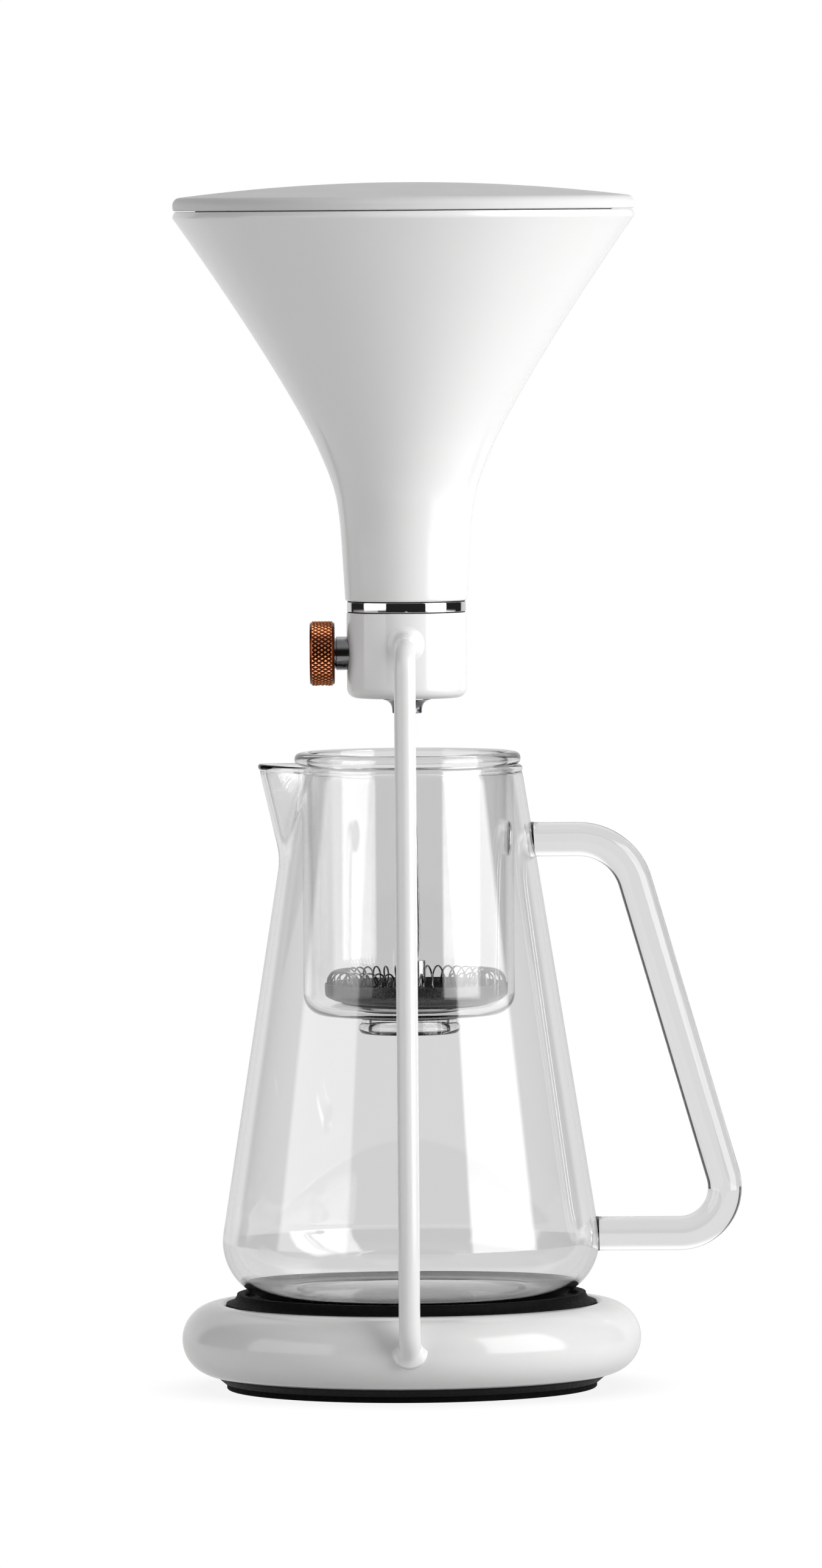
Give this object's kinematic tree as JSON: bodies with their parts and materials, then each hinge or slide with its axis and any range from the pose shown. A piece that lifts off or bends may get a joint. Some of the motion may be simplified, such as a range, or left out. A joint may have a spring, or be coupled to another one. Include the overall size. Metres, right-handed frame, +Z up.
{
  "type": "pour-over coffee maker",
  "caption": "Coffee stand: weighted round base and bent arm hold a needle valve and lidded funnel over a glass carafe with a drip chamber and spring-edged mesh filter.",
  "frame": {"origin": "middle of the rubber sheet's underside, on the surface that the stand rests on, under the funnel's axis", "axes": "+Z up along the funnel's axis, +X towards the carafe's handle, -Y towards the bent arm, -X towards the control knob and the pouring lip"},
  "size_m": [0.185, 0.1594, 0.3969],
  "materials": {
    "white_enamel": "high gloss white enamel",
    "white_ceramic": "high gloss white glaze",
    "black_plastic": "fine matt black",
    "black_rubber": "matt black",
    "black_silicone": "satin black",
    "cast_iron": "rough cast",
    "steel": "satin",
    "chrome": "polished",
    "brass": "machined",
    "copper": "knurled and polished copper",
    "white_plastic": "smooth white",
    "glass": "clear",
    "steel_mesh": "fine woven wire"
  },
  "bodies": {
    "stand": {"base_shell": "white_enamel", "base_cover": "black_plastic", "foot_sheet": "black_rubber", "base_weight": "cast_iron", "carafe_mat": "black_silicone", "cover_screws": "steel", "shell_screws": "steel", "arm": "white_enamel", "arm_screws": "steel", "collar": "white_enamel", "collar_gasket": "black_rubber", "collar_ring": "chrome", "funnel_gasket": "black_rubber", "valve_body": "brass", "gland_nut": "steel", "outlet_nozzle": "steel", "nozzle_o_ring": "black_rubber"},
    "valve_tip": {"valve_tip": "white_plastic"},
    "knob": {"knob_stem": "steel", "stem_o_rings": "black_rubber", "knob": "copper", "knob_set_screw": "steel"},
    "funnel": {"funnel": "white_ceramic", "funnel_seal": "black_silicone"},
    "funnel_lid": {"funnel_lid": "white_ceramic"},
    "carafe": {"carafe_body": "glass", "carafe_handle": "glass"},
    "drip_chamber": {"drip_chamber": "glass"},
    "filter": {"filter_mesh": "steel_mesh", "filter_plate": "black_silicone", "filter_washer": "steel", "filter_nut": "steel", "filter_rod": "steel", "filter_spring": "steel"}
  },
  "joints": [
    {"name": "valve_travel", "type": "slide", "parent": "stand", "child": "valve_tip", "axis": [-1, 0, 0], "range_m": [0, 0.0015]},
    {"name": "knob_turn", "type": "hinge", "parent": "valve_tip", "child": "knob", "pos_m": [-0.0237, 0, 0.2422], "axis": [-1, 0, 0], "range_deg": [0, 540]},
    {"name": "funnel_lift", "type": "slide", "parent": "stand", "child": "funnel", "axis": [0, 0, 1], "range_m": [0, 0.08]},
    {"name": "lid_lift", "type": "slide", "parent": "funnel", "child": "funnel_lid", "axis": [0, 0, 1], "range_m": [0, 0.06]},
    {"name": "carafe_off", "type": "slide", "parent": "stand", "child": "carafe", "axis": [0.9659, 0, 0.2588], "range_m": [0, 0.16]},
    {"name": "chamber_lift", "type": "slide", "parent": "carafe", "child": "drip_chamber", "axis": [0, 0, 1], "range_m": [0, 0.01]},
    {"name": "filter_lift", "type": "slide", "parent": "drip_chamber", "child": "filter", "axis": [0, 0, 1], "range_m": [0, 0.012]}
  ],
  "couplings": [
    {"joint": "knob_turn", "follows": "valve_travel", "rad_per_m": 6283.2}
  ]
}
